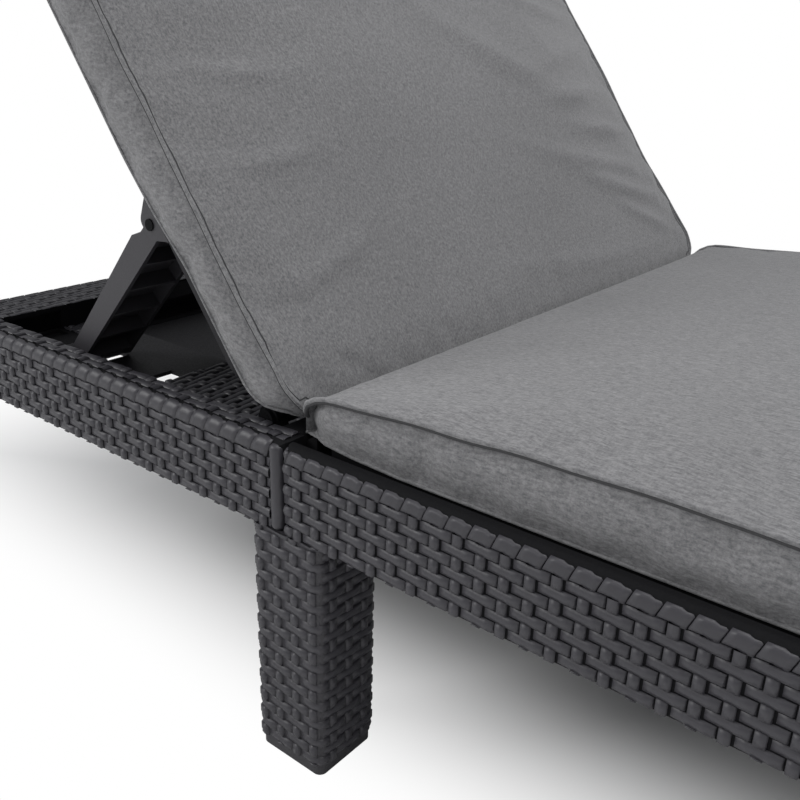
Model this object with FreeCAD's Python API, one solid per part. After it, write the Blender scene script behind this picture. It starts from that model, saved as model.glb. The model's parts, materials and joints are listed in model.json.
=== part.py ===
"""Sun lounger of moulded, weave-faced rails on four square legs, with a reclining
backrest, a folding prop and a two-part mattress.

Frame: X runs along the lounger towards the foot end, Y across it, Z up.  The origin
is on the floor, under the middle of the lounger as it stands with its back raised.
While it is built, X is measured from the split between the two base modules.
"""
import FreeCAD
import Part
import math
import os

os.makedirs("parts", exist_ok=True)
V = FreeCAD.Vector

# Driving sizes of the whole lounger, in millimetres and degrees
width = 650.0
weave_relief = 1.3
rail_top = 236.0
rail_height = 59.5
front_length = 1250.0
rear_length = 417.0
module_gap = 1.5
cut_overrun = 5.0
contact_gap = 0.3
joined_share = 0.01
slot_round_share = 0.45
end_round_share = 0.98
bracket_round_share = 0.9

# Rails: a thin moulded channel with a top flange, an inner wall and a ledge
rail_wall = 4.0
rail_top_width = 20.0
rail_edge_radius = 6.0
front_lip_width = 9.0
front_lip_height = 11.0
head_rail_width = 57.0
rail_ledge_width = 12.0
rail_ledge_thickness = 3.0
rail_rib_thickness = 3.0
rail_rib_pitch = 118.0
module_corner_radius = 8.0

# Seat deck and its beams
seat_deck_drop = 3.0
seat_deck_thickness = 6.0
deck_slot_width = 12.0
deck_slot_pitch = 41.0
deck_slot_side_margin = 46.0
deck_slot_centre_web = 60.0
deck_slot_end_margin = 36.0
deck_joint_gap = 1.0
beam_width = 34.0
beam_wall = 3.0
beam_depth = 34.0
beam_count = 4

# Rear deck, prop tracks and the sunken pan between them
rear_deck_thickness = 3.0
rear_deck_length = 164.0
corner_deck_share = 0.4906
wall_slot_share = 0.4048
track_width = 98.0
pan_depth = 11.0
pan_wall = 2.5
pan_flange = 10.0
pan_draft = 4.0
slot_width = 17.0
slot_length = 44.0
high_slot_from_split = 193.0
slot_back_share = 0.8
foot_gap = 0.1
notch_gap = 2.0

# Legs
leg_width = 58.0
leg_depth = 54.0
leg_wall = 4.0
leg_corner_radius = 6.0
leg_top_plate = 6.0
leg_rim_height = 8.0
leg_rim_inset = 0.8
middle_leg_front_reach = 29.5

# Leg bolts, module bolts and their nuts
bolt_radius = 3.0
bolt_hole_gap = 0.3
bolt_head_radius = 5.8
bolt_head_height = 4.0
nut_radius = 5.8
nut_height = 5.0
hexagon_sides = 6
leg_bolt_spread = 37.0
leg_bolt_length = 20.0
module_bolt_height = 20.0
module_bolt_spacing = 150.0
module_bolt_count = 4
module_bolt_overhang = 2.0

# Recline hinge
hinge_from_split = 40.5
hinge_below_rail_top = 2.0
rest_angle = 53.0
flat_angle = 1.9
steep_angle = 67.5
travel_steps = 40
hinge_pin_radius = 4.0
pin_running_gap = 0.08
knuckle_radius = 7.0
knuckle_width = 16.0
knuckle_outer_share = 0.947
ear_radius = 8.5
ear_width = 8.0
ear_side_gap = 0.5
ear_base_length = 34.0
ear_base_width = 22.0
ear_base_thickness = 3.0
pin_overhang = 3.0
pin_head_radius = 6.5
pin_head_height = 2.5

# Backrest panel: a ribbed shell with slots between its slats
panel_end = 642.5
panel_start = 14.0
panel_thickness = 14.0
panel_skin = 4.0
panel_rim = 5.0
panel_side_gap = 3.0
panel_corner_radius = 30.0
panel_rib_thickness = 4.0
panel_slat_count = 9
panel_bay_count = 4
panel_slot_width = 14.0
panel_slot_inset = 14.0

# Prop: two channel legs and a cross panel, hinged under the backrest
prop_pivot_up = 150.5
prop_pivot_below = 16.3
prop_rest_angle = 46.0
prop_swing_share = 0.9
prop_length = 168.0
prop_thickness = 15.0
prop_top_growth = 5.0
prop_growth_slope = 2.0
prop_nest_length = 60.0
prop_nest_depth = 3.5
prop_leg_width = 48.0
prop_leg_side_gap = 8.0
prop_wall = 3.5
prop_rib_thickness = 2.5
prop_rib_count = 4
prop_cross_start = 95.0
prop_cross_width = 33.0
prop_cross_thickness = 12.0
prop_cross_wall = 3.0
prop_bracket_plate = 1.5
prop_bracket_ear = 4.0
prop_bracket_gap = 1.0
prop_bracket_length = 36.0
prop_pin_radius = 4.0

# Mattress
cushion_side_inset = 17.5
cushion_side_pull = 4.0
cushion_waist = 5.0
seat_cushion_start = 13.0
seat_cushion_foot_inset = 12.0
seat_cushion_side = 40.5
seat_cushion_crown = 14.0
back_cushion_side = 28.5
back_cushion_crown = 20.0
back_cushion_end = 650.5
back_cushion_back_start = 8.0
back_cushion_front_start = -9.0
cushion_station_shares = (0.0, 0.045, 0.16, 0.5, 0.84, 0.955, 1.0)
seat_crown_shares = (0.0, 0.42, 0.85, 1.0, 0.85, 0.42, 0.0)
back_crown_shares = (0.7, 0.78, 0.9, 1.0, 0.85, 0.42, 0.0)
waist_shares = (0.0, 0.25, 0.7, 1.0, 0.7, 0.25, 0.0)

# Places worked out from the sizes above
half_width = width / 2 - weave_relief
rail_bottom = rail_top - rail_height
inner_half = half_width - rail_top_width
front_start = module_gap / 2
rear_start = -module_gap / 2
hinge_x = -hinge_from_split
hinge_z = rail_top - hinge_below_rail_top
panel_half = panel_thickness / 2
cushion_half = half_width - cushion_side_inset
front_deck_top = rail_top - seat_deck_drop
front_ledge_top = front_deck_top - seat_deck_thickness
head_wall_x = -rear_length + head_rail_width


def turned(up, out, angle):
    """Place in X and Z of a point on the backrest, up its length and out from its middle plane."""
    a = math.radians(angle)
    return (hinge_x - up * math.cos(a) + out * math.sin(a), hinge_z + up * math.sin(a) + out * math.cos(a))


def foot_centre(angle):
    """Centre of the prop's rounded foot while the backrest stands at an angle."""
    pivot_x, pivot_z = turned(prop_pivot_up, -prop_pivot_below, angle)
    lean = math.radians(prop_rest_angle + prop_swing_share * (angle - rest_angle))
    return (pivot_x - prop_length * math.cos(lean), pivot_z - prop_length * math.sin(lean))


travel = [flat_angle + (steep_angle - flat_angle) * k / travel_steps for k in range(travel_steps + 1)]
foot_radius = prop_thickness / 2
rear_deck_top = min(foot_centre(a)[1] for a in travel) - foot_radius - foot_gap
rear_deck_bottom = rear_deck_top - rear_deck_thickness
deck_end_x = -rail_top_width - rear_deck_length
track_inner = inner_half - track_width
rest_slot_x = foot_centre(rest_angle)[0] - slot_back_share * slot_width
track_end_x = head_wall_x + (rest_slot_x - head_wall_x) * corner_deck_share
rear_reach = turned(panel_end, -panel_half, rest_angle)[0]
split_x = -(front_length + min(rear_reach, -rear_length)) / 2

made = {}


def save(name, shape):
    """Keep a finished piece under its node name."""
    made[name] = shape


def box(x0, x1, y0, y1, z0, z1):
    return Part.makeBox(x1 - x0, y1 - y0, z1 - z0, V(x0, y0, z0))


def rounded_wire(corners):
    """Closed wire through corners of (point, radius); each radius is cut in as an arc."""
    edges = []
    starts = []
    ends = []
    for k, (point, radius) in enumerate(corners):
        before = corners[k - 1][0]
        after = corners[(k + 1) % len(corners)][0]
        to_before = (before - point).normalize()
        to_after = (after - point).normalize()
        if radius == 0:
            starts.append(point)
            ends.append(point)
            edges.append(None)
            continue
        half = to_before.getAngle(to_after) / 2
        reach = radius / math.tan(half)
        bisector = (to_before + to_after).normalize()
        centre = point + bisector * (radius / math.sin(half))
        starts.append(point + to_before * reach)
        ends.append(point + to_after * reach)
        edges.append(Part.Arc(starts[-1], centre - bisector * radius, ends[-1]).toShape())
    outline = []
    for k in range(len(corners)):
        if edges[k]:
            outline.append(edges[k])
        target = starts[(k + 1) % len(corners)]
        if ends[k].distanceToPoint(target) > contact_gap * joined_share:
            outline.append(Part.makeLine(ends[k], target))
    return Part.Wire(outline)


def extruded(corners, direction):
    return Part.Face(rounded_wire(corners)).extrude(direction)


def rounded_block(x0, x1, y0, y1, z0, z1, radius):
    """Upright block whose four standing edges are rounded."""
    plan = [V(x0, y0, z0), V(x1, y0, z0), V(x1, y1, z0), V(x0, y1, z0)]
    return extruded([(point, radius) for point in plan], V(0, 0, z1 - z0))


def rod(x, y, z, radius, length, direction):
    return Part.makeCylinder(radius, length, V(x, y, z), direction)


def hexagon(centre, radius, thickness, direction):
    """Six-sided nut or bolt head, drawn round a centre and raised along a direction."""
    side_a = V(0, 0, 1) if abs(direction.z) < 1 else V(1, 0, 0)
    side_b = direction.cross(side_a)
    ring = []
    for k in range(hexagon_sides):
        turn = math.tau * k / hexagon_sides
        ring.append(centre + side_a * (radius * math.cos(turn)) + side_b * (radius * math.sin(turn)))
    return Part.Face(Part.makePolygon(ring + [ring[0]])).extrude(direction * thickness)


def mirrored(shape):
    """The same piece on the other side of the lounger's middle plane."""
    return shape.mirror(V(0, 0, 0), V(0, 1, 0))


def save_pair(name, shape):
    """The photographed near side is the sitter's right; the left is its mirror image."""
    save(name + "_right", shape)
    save(name + "_left", mirrored(shape))


def rail_flange_top(lip):
    return rail_top - front_lip_height if lip else rail_top


def rail_section(top_width, ledge_top, lip=0):
    """Corners of a rail's cross-section as (distance in from the outer face, height, radius).

    Behind a lip the top is sunk, which leaves a dark groove under the edge of the mattress.
    """
    ledge_end = top_width + rail_ledge_width
    ledge_bottom = ledge_top - rail_ledge_thickness
    flange_top = rail_flange_top(lip)
    crest = [(lip, rail_top, 0), (lip, flange_top, 0)] if lip else []
    return [
        (0, rail_bottom, 0), (0, rail_top, rail_edge_radius), *crest, (top_width, flange_top, 0),
        (top_width, ledge_top, 0),
        (ledge_end, ledge_top, 0), (ledge_end, ledge_bottom, 0), (top_width - rail_wall, ledge_bottom, 0),
        (top_width - rail_wall, flange_top - rail_wall, 0), (rail_wall, flange_top - rail_wall, 0),
        (rail_wall, rail_bottom + rail_wall, 0), (top_width, rail_bottom + rail_wall, 0),
        (top_width, rail_bottom, 0),
    ]


def rail_places(start, end):
    """Places of a rail's ribs: one at each end and the rest evenly between them."""
    span = end - start - rail_rib_thickness
    bays = max(1, round(span / rail_rib_pitch))
    return [start + span * k / bays for k in range(bays + 1)]


def rail_along_x(start, end, ledge_top, lip=0):
    """Right-hand side rail, with its webs, from one X to another."""
    section = rail_section(rail_top_width, ledge_top, lip)
    corners = [(V(start, d - half_width, z), r) for d, z, r in section]
    rail = extruded(corners, V(end - start, 0, 0))
    inner = rail_top_width - rail_wall
    for x in rail_places(start, end):
        rib = box(x, x + rail_rib_thickness, rail_wall - half_width, inner - half_width,
                  rail_bottom + rail_wall, rail_flange_top(lip) - rail_wall)
        rail = rail.fuse(rib)
    return rail.removeSplitter()


def rail_across(outer_x, inward, top_width, ledge_top, lip=0):
    """Cross rail between the side rails; its outer face is at outer_x and inward is +1 or -1."""
    start = -inner_half
    section = rail_section(top_width, ledge_top, lip)
    corners = [(V(outer_x + inward * d, start, z), r) for d, z, r in section]
    rail = extruded(corners, V(0, 2 * inner_half, 0))
    xs = sorted((outer_x + inward * rail_wall, outer_x + inward * (top_width - rail_wall)))
    for y in rail_places(start, -start):
        rib = box(xs[0], xs[1], y, y + rail_rib_thickness, rail_bottom + rail_wall,
                  rail_flange_top(lip) - rail_wall)
        rail = rail.fuse(rib)
    return rail.removeSplitter()


def leg_places():
    """Name and head-end X of each pair of legs; the rear module reaches out from the middle pair."""
    return [("foot_leg", front_length - leg_width), ("middle_leg", middle_leg_front_reach - leg_width)]


def leg_bolt_places():
    """Right-hand places of the two bolts at the top of every leg."""
    y = rail_top_width / 2 - half_width
    places = []
    for _, x in leg_places():
        middle = x + leg_width / 2
        places += [(middle - leg_bolt_spread / 2, y), (middle + leg_bolt_spread / 2, y)]
    return places


def bolt_holes(radius, z0, z1):
    """Upright cutters at all leg bolts of the right-hand side."""
    tools = [rod(x, y, z0, radius, z1 - z0, V(0, 0, 1)) for x, y in leg_bolt_places()]
    return Part.makeCompound(tools)


def ledge_end(x, reach):
    """Cutter for the end of a side rail's ledge, where a cross rail butts against the rail."""
    xs = sorted((x, x + reach))
    inner = rail_ledge_width + cut_overrun - inner_half
    return box(xs[0], xs[1], -inner_half, inner, rail_bottom, rail_top)


def make_rails():
    """Side rails, end rails and the two cross rails that meet at the split."""
    hole_bottom = rail_bottom - cut_overrun
    hole_top = rail_bottom + rail_wall + cut_overrun
    holes = bolt_holes(bolt_radius + bolt_hole_gap, hole_bottom, hole_top)
    radius = module_corner_radius
    front_plan = rounded_block(front_start, front_length, -half_width, half_width, rail_bottom, rail_top,
                               radius)
    rear_plan = rounded_block(-rear_length, rear_start, -half_width, half_width, rail_bottom, rail_top,
                              radius)
    rear_ledge_top = rear_deck_bottom
    front_rail = rail_along_x(front_start, front_length, front_ledge_top, front_lip_width)
    front_rail = front_rail.common(front_plan).cut(holes)
    rear_rail = rail_along_x(-rear_length, rear_start, rear_ledge_top).common(rear_plan).cut(holes)
    cross_reach = rail_top_width + rail_ledge_width
    head_reach = head_rail_width + rail_ledge_width
    for start, reach in ((front_start, cross_reach), (front_length, -cross_reach)):
        front_rail = front_rail.cut(ledge_end(start, reach))
    for start, reach in ((rear_start, -cross_reach), (-rear_length, head_reach)):
        rear_rail = rear_rail.cut(ledge_end(start, reach))
    save_pair("front_side_rail", front_rail)
    save_pair("rear_side_rail", rear_rail)
    save("foot_end_rail", rail_across(front_length, -1, rail_top_width, front_ledge_top,
                                      front_lip_width))

    front_cross = rail_across(front_start, 1, rail_top_width, front_ledge_top, front_lip_width)
    rear_cross = rail_across(rear_start, -1, rail_top_width, rear_ledge_top)
    bolt_z = rail_bottom + module_bolt_height
    for y in module_bolt_places():
        tool = rod(-rail_top_width, y, bolt_z, bolt_radius + bolt_hole_gap, 2 * rail_top_width, V(1, 0, 0))
        front_cross = front_cross.cut(tool)
        rear_cross = rear_cross.cut(tool)
    save("front_cross_rail", front_cross)
    save("rear_cross_rail", rear_cross)

    head_rail = rail_across(-rear_length, 1, head_rail_width, rear_ledge_top)
    notch_half = prop_leg_width / 2 + notch_gap
    for side in (-1, 1):
        y_mid = side * prop_leg_middle()
        notch = box(head_wall_x - rail_wall - cut_overrun, head_wall_x + cut_overrun,
                    y_mid - notch_half, y_mid + notch_half,
                    rear_deck_top, rear_deck_top + prop_thickness + notch_gap)
        head_rail = head_rail.cut(notch)
    save("head_end_rail", head_rail)


def prop_leg_middle():
    """Distance of the middle of each prop leg from the lounger's middle plane."""
    return inner_half - prop_leg_side_gap - prop_leg_width / 2


def module_bolt_places():
    middle = (module_bolt_count - 1) / 2
    return [module_bolt_spacing * (k - middle) for k in range(module_bolt_count)]


def leg_block(x, inset, z0, z1):
    """Block with a leg's plan, drawn in all round by an inset."""
    y = -half_width
    return rounded_block(x + inset, x + leg_width - inset, y + inset, y + leg_depth - inset, z0, z1,
                         leg_corner_radius - inset / 2)


def make_legs():
    """Four hollow square legs with a closed top plate and a plain rim at the floor."""
    for name, x in leg_places():
        rim = leg_block(x, leg_rim_inset, 0, leg_rim_height)
        body = leg_block(x, 0, leg_rim_height, rail_bottom)
        hollow = leg_block(x, leg_wall, leg_wall, rail_bottom - leg_top_plate)
        leg = rim.fuse(body).cut(hollow)
        holes = bolt_holes(bolt_radius + bolt_hole_gap, rail_bottom - leg_top_plate - cut_overrun,
                           rail_bottom + cut_overrun)
        save_pair(name, leg.cut(holes))


def bolt(seat, direction, length):
    """Bolt with a six-sided head that sits on a seat point and a shank that runs back from it."""
    shank = Part.makeCylinder(bolt_radius, length, seat, direction * -1)
    return shank.fuse(hexagon(seat, bolt_head_radius, bolt_head_height, direction))


def ring_nut(seat, direction):
    """Nut whose face is on a seat point; its bore clears the bolt by a running gap."""
    bore = Part.makeCylinder(bolt_radius + pin_running_gap, nut_height + 2 * cut_overrun,
                             seat - direction * cut_overrun, direction)
    return hexagon(seat, nut_radius, nut_height, direction).cut(bore)


def make_fasteners():
    """Bolts that hold the legs to the rails and the two base modules to each other."""
    up = V(0, 0, 1)
    bolts = [bolt(V(x, y, rail_bottom + rail_wall), up, leg_bolt_length) for x, y in leg_bolt_places()]
    nuts = [ring_nut(V(x, y, rail_bottom - leg_top_plate), up * -1) for x, y in leg_bolt_places()]
    save("leg_bolts", Part.makeCompound(bolts + [mirrored(b) for b in bolts]))
    save("leg_nuts", Part.makeCompound(nuts + [mirrored(n) for n in nuts]))

    z = rail_bottom + module_bolt_height
    ahead = V(1, 0, 0)
    length = module_gap + 2 * rail_wall + nut_height + module_bolt_overhang
    module_bolts = [bolt(V(front_start + rail_wall, y, z), ahead, length) for y in module_bolt_places()]
    module_nuts = [ring_nut(V(rear_start - rail_wall, y, z), ahead * -1) for y in module_bolt_places()]
    save("module_bolts", Part.makeCompound(module_bolts))
    save("module_nuts", Part.makeCompound(module_nuts))


def slotted(panel, x0, x1, z0, z1):
    """Cut rows of round-ended slots across a deck panel, two in each row."""
    usable = x1 - x0 - 2 * deck_slot_end_margin
    rows = max(1, int(usable / deck_slot_pitch))
    outer = inner_half - deck_slot_side_margin
    inner = deck_slot_centre_web / 2
    tools = []
    for k in range(rows + 1):
        x = x0 + deck_slot_end_margin + usable * k / rows
        for side in (-1, 1):
            ends = sorted((side * inner, side * outer))
            tools.append(rounded_block(x - deck_slot_width / 2, x + deck_slot_width / 2, ends[0], ends[1],
                                       z0 - cut_overrun, z1 + cut_overrun,
                                       deck_slot_width * slot_round_share))
    return panel.cut(Part.makeCompound(tools))


def make_seat_deck():
    """Two slotted panels that drop between the front rails, on ledges and cross beams."""
    gap = deck_joint_gap / 2
    start = front_start + rail_top_width + gap
    end = front_length - rail_top_width - gap
    middle = (start + end) / 2
    half = inner_half - gap
    for name, x0, x1 in (("seat_deck_head", start, middle - gap), ("seat_deck_foot", middle + gap, end)):
        panel = box(x0, x1, -half, half, front_ledge_top, front_deck_top)
        save(name, slotted(panel, x0, x1, front_ledge_top, front_deck_top))

    ledge_bottom = front_ledge_top - rail_ledge_thickness
    ledge_edge = inner_half - rail_ledge_width
    for k in range(beam_count):
        x = start + (end - start) * (k + 1) / (beam_count + 1) - beam_width / 2
        save("seat_beam_%d" % (k + 1), cross_beam(x, front_ledge_top, ledge_bottom, ledge_edge))


def cross_beam(x, top, ledge_bottom, ledge_edge):
    """Inverted channel between the side rails, stepped down at its ends to pass under their ledges."""
    reach = inner_half
    edge = ledge_edge - contact_gap
    bottom = top - beam_depth
    outline = [(-reach, bottom), (reach, bottom), (reach, ledge_bottom), (edge, ledge_bottom), (edge, top),
               (-edge, top), (-edge, ledge_bottom), (-reach, ledge_bottom)]
    beam = extruded([(V(x, y, z), 0) for y, z in outline], V(beam_width, 0, 0))
    hollow = box(x + beam_wall, x + beam_width - beam_wall, beam_wall - edge, edge - beam_wall,
                 bottom - cut_overrun, top - beam_wall)
    return beam.cut(hollow)


def make_rear_deck():
    """Woven deck by the split, plain prop tracks with their slots, woven corners and a sunken pan."""
    gap = deck_joint_gap / 2
    half = inner_half - gap
    top = rear_deck_top
    bottom = rear_deck_bottom
    save("rear_deck", box(deck_end_x + gap, rear_start - rail_top_width - gap, -half, half, bottom, top))

    mid = prop_leg_middle()
    track = box(track_end_x + gap, deck_end_x - gap, -half, -track_inner, bottom, top)
    corner = box(head_wall_x + gap, track_end_x - gap, -half, -track_inner, bottom, top)
    for x in (-high_slot_from_split - slot_width / 2, rest_slot_x):
        tool = box(x, x + slot_width, -mid - slot_length / 2, -mid + slot_length / 2,
                   bottom - cut_overrun, top + cut_overrun)
        track = track.cut(tool)
    wall_slot_end = head_wall_x + (track_end_x - head_wall_x) * wall_slot_share
    wall_slot = box(head_wall_x - cut_overrun, wall_slot_end, -mid - slot_length / 2,
                    -mid + slot_length / 2, bottom - cut_overrun, top + cut_overrun)
    save_pair("prop_track", track)
    save_pair("corner_deck", corner.cut(wall_slot))
    save("sunken_pan", sunken_pan(bottom))
    save("rear_beam", cross_beam(deck_end_x + gap, bottom, bottom - rail_ledge_thickness,
                                 inner_half - rail_ledge_width))


def sunken_pan(flange_top):
    """Shallow tray with drafted walls that hangs by its side flanges under the tracks."""
    x0 = head_wall_x + rail_ledge_width + contact_gap
    x1 = deck_end_x - deck_joint_gap / 2 - contact_gap
    y = track_inner - pan_wall
    floor = rear_deck_top - pan_depth

    def ring(inset, z):
        points = [V(x0 + inset, -y + inset, z), V(x1 - inset, -y + inset, z), V(x1 - inset, y - inset, z),
                  V(x0 + inset, y - inset, z)]
        return Part.makePolygon(points + [points[0]])

    outer = Part.makeLoft([ring(0, flange_top), ring(pan_draft, floor - pan_wall)], True, True)
    inner = Part.makeLoft([ring(pan_wall, flange_top), ring(pan_wall + pan_draft, floor)], True, True)
    flange = box(x0, x1, -y - pan_flange, y + pan_flange, flange_top - pan_wall, flange_top)
    mouth = box(x0 + pan_wall, x1 - pan_wall, -y + pan_wall, y - pan_wall, floor, flange_top)
    return outer.fuse(flange.cut(mouth)).cut(inner).removeSplitter()


def knuckle_edges():
    """Inner and outer distance from the middle plane of the backrest's hinge knuckles."""
    outer = inner_half * knuckle_outer_share
    return outer - knuckle_width, outer


def make_hinge():
    """Ear brackets on the rear deck and the pins that the backrest turns on."""
    inner, outer = knuckle_edges()
    y0 = outer + ear_side_gap
    y1 = y0 + ear_width
    base_top = rear_deck_top + ear_base_thickness
    half_base = ear_base_length / 2
    base_y = (y0 + y1) / 2
    side = [(V(hinge_x - half_base, -y1, base_top), 0), (V(hinge_x - ear_radius, -y1, hinge_z), 0),
            (V(hinge_x - ear_radius, -y1, hinge_z + ear_radius), ear_radius * end_round_share),
            (V(hinge_x + ear_radius, -y1, hinge_z + ear_radius), ear_radius * end_round_share),
            (V(hinge_x + ear_radius, -y1, hinge_z), 0), (V(hinge_x + half_base, -y1, base_top), 0)]
    ear = extruded(side, V(0, ear_width, 0))
    base_half_y = min(ear_base_width / 2, inner_half - base_y - deck_joint_gap)
    base = rounded_block(hinge_x - half_base, hinge_x + half_base, -base_y - base_half_y,
                         -base_y + base_half_y, rear_deck_top, base_top, ear_base_thickness)
    hole = rod(hinge_x, -y1 - cut_overrun, hinge_z, hinge_pin_radius + pin_running_gap,
               ear_width + 2 * cut_overrun, V(0, 1, 0))
    save_pair("hinge_bracket", ear.fuse(base).cut(hole))

    start = inner - pin_overhang
    pin = rod(hinge_x, -y1 - pin_overhang, hinge_z, hinge_pin_radius, y1 + pin_overhang - start, V(0, 1, 0))
    head = rod(hinge_x, -y1 - contact_gap - pin_head_height, hinge_z, pin_head_radius, pin_head_height,
               V(0, 1, 0))
    save_pair("hinge_pin", pin.fuse(head))


def raised(shape):
    """Turn a piece that was drawn with the backrest level to the angle it stands at."""
    shape.rotate(V(hinge_x, 0, hinge_z), V(0, 1, 0), rest_angle)
    return shape


def make_back_panel():
    """Ribbed shell: a skin on the mattress side, a rim, slots between the slats, and ribs below
    that are notched where the folded prop legs nest."""
    half = inner_half - panel_side_gap
    x0 = hinge_x - panel_end
    x1 = hinge_x - panel_start
    z0 = hinge_z - panel_half
    z1 = hinge_z + panel_half
    panel = rounded_block(x0, x1, -half, half, z0, z1, panel_corner_radius)
    cell_x = (x1 - x0 - 2 * panel_rim + panel_rib_thickness) / panel_slat_count
    cell_y = (2 * half - 2 * panel_rim + panel_rib_thickness) / panel_bay_count
    bay_x = cell_x - panel_rib_thickness
    bay_y = cell_y - panel_rib_thickness
    tools = []
    for i in range(panel_slat_count):
        for j in range(panel_bay_count):
            cx = x0 + panel_rim + cell_x * i
            cy = -half + panel_rim + cell_y * j
            corner_cell = i in (0, panel_slat_count - 1) and j in (0, panel_bay_count - 1)
            radius = panel_corner_radius - panel_rim if corner_cell else panel_rib_thickness
            tools.append(rounded_block(cx, cx + bay_x, cy, cy + bay_y, z0 - cut_overrun, z1 - panel_skin,
                                       radius))
            slot_x = cx + (bay_x - panel_slot_width) / 2
            inset = panel_slot_inset + (panel_corner_radius if corner_cell else 0)
            tools.append(rounded_block(slot_x, slot_x + panel_slot_width, cy + inset, cy + bay_y - inset,
                                       z1 - panel_skin - cut_overrun, z1 + cut_overrun,
                                       panel_slot_width * slot_round_share))
    nest_x = hinge_x - prop_pivot_up - prop_bracket_length / 2 - prop_nest_length
    nest_half = prop_leg_width / 2 + notch_gap
    for side in (-1, 1):
        y_mid = side * prop_leg_middle()
        tools.append(box(nest_x, nest_x + prop_nest_length, y_mid - nest_half, y_mid + nest_half,
                         z0 - cut_overrun, z0 + prop_nest_depth))
    panel = panel.cut(Part.makeCompound(tools))
    inner, outer = knuckle_edges()
    for y in (-outer, inner):
        arm = box(x1 - panel_rim, hinge_x, y, y + knuckle_width, z0, z1)
        eye = rod(hinge_x, y, hinge_z, knuckle_radius, knuckle_width, V(0, 1, 0))
        panel = panel.fuse(arm.fuse(eye))
    hole = rod(hinge_x, -half, hinge_z, hinge_pin_radius + pin_running_gap, 2 * half, V(0, 1, 0))
    save("back_panel", raised(panel.cut(hole).removeSplitter()))


def lean(shape):
    """Turn a prop piece that was drawn level, pointing at the head end, to the way it stands."""
    x, z = turned(prop_pivot_up, -prop_pivot_below, rest_angle)
    shape.translate(V(x, 0, z))
    shape.rotate(V(x, 0, z), V(0, 1, 0), -prop_rest_angle)
    return shape


def make_prop():
    """Two channel legs joined by a cross panel, and the brackets and pins that hold them."""
    r = prop_thickness / 2
    mid = prop_leg_middle()
    y0 = -mid - prop_leg_width / 2
    y1 = -mid + prop_leg_width / 2
    round_end = r * end_round_share
    grown_start = -prop_bracket_length / 2
    side = [(V(r, y0, -r), round_end), (V(r, y0, r), round_end), (V(grown_start, y0, r), 0),
            (V(grown_start - prop_growth_slope * prop_top_growth, y0, r + prop_top_growth), 0),
            (V(-prop_length - r, y0, r), round_end), (V(-prop_length - r, y0, -r), round_end)]
    leg = extruded(side, V(0, prop_leg_width, 0))
    bays = prop_rib_count + 1
    span = prop_length - 2 * r
    bay = (span + prop_rib_thickness) / bays
    for k in range(bays):
        x = -r - span + bay * k
        leg = leg.cut(box(x, x + bay - prop_rib_thickness, y0 + prop_wall, y1 - prop_wall, -r - cut_overrun,
                          r - prop_wall))
    pin_hole = rod(0, y0 - cut_overrun, 0, prop_pin_radius + pin_running_gap,
                   prop_leg_width + 2 * cut_overrun, V(0, 1, 0))
    save_pair("prop_leg", lean(leg.cut(pin_hole)))

    half_cross = prop_cross_thickness / 2
    inner = mid - prop_leg_width / 2
    far = -prop_cross_start - prop_cross_width
    cross = box(far, -prop_cross_start, -inner, inner, -half_cross, half_cross)
    bay_count = max(1, round(2 * inner / rail_rib_pitch))
    bay = (2 * inner - prop_cross_wall) / bay_count
    for k in range(bay_count):
        y = -inner + prop_cross_wall + bay * k
        cross = cross.cut(box(far + prop_cross_wall, -prop_cross_start - prop_cross_wall, y,
                              y + bay - prop_cross_wall, -half_cross - cut_overrun,
                              half_cross - prop_cross_wall))
    save("prop_cross_panel", lean(cross))

    px = hinge_x - prop_pivot_up
    pz = hinge_z - prop_pivot_below
    seat_z = hinge_z - panel_half
    half_len = prop_bracket_length / 2
    e0 = y0 - prop_bracket_gap - prop_bracket_ear
    e1 = y1 + prop_bracket_gap + prop_bracket_ear
    plate = box(px - half_len, px + half_len, e0, e1, seat_z - prop_bracket_plate, seat_z)
    bracket = plate
    for y in (e0, e1 - prop_bracket_ear):
        ear = [(V(px - half_len, y, seat_z), 0), (V(px + half_len, y, seat_z), 0),
               (V(px + r, y, pz - r), r * bracket_round_share),
               (V(px - r, y, pz - r), r * bracket_round_share)]
        bracket = bracket.fuse(extruded(ear, V(0, prop_bracket_ear, 0)))
    bore = rod(px, e0 - cut_overrun, pz, prop_pin_radius + pin_running_gap, e1 - e0 + 2 * cut_overrun,
               V(0, 1, 0))
    save_pair("prop_bracket", raised(bracket.cut(bore)))
    pin = rod(px, e0 - prop_bracket_gap, pz, prop_pin_radius, e1 - e0 + 2 * prop_bracket_gap, V(0, 1, 0))
    save_pair("prop_pin", raised(pin))


def cushion(stations, side, crown, base):
    """Loft of a boxed cushion: flat below, drawn-in sides and a crowned top, along X.

    Each station is the lower X, the upper X, the half width and the share of the crown.
    """
    sections = []
    for low_x, high_x, half, crown_share in stations:
        def at(y, z):
            return V(low_x + (high_x - low_x) * (z - base) / side, y, z)
        pulled = half - cushion_side_pull
        top = at(0, base + side + max(crown * crown_share, contact_gap))
        edges = [
            Part.makeLine(at(-half, base), at(half, base)),
            Part.Arc(at(half, base), at(pulled, base + side / 2), at(half, base + side)).toShape(),
            Part.Arc(at(half, base + side), top, at(-half, base + side)).toShape(),
            Part.Arc(at(-half, base + side), at(-pulled, base + side / 2), at(-half, base)).toShape(),
        ]
        sections.append(Part.Wire(edges))
    return Part.makeLoft(sections, True, True)


def cushion_stations(low_start, high_start, end, crown_shares):
    """Stations along a cushion; the slant of its first end dies away by the second station."""
    stations = []
    for k, share in enumerate(cushion_station_shares):
        low = low_start + (end - low_start) * share
        high = high_start + (end - high_start) * share if k == 0 else low
        half = cushion_half - cushion_waist * waist_shares[k]
        stations.append((low, high, half, crown_shares[k]))
    return stations


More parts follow.
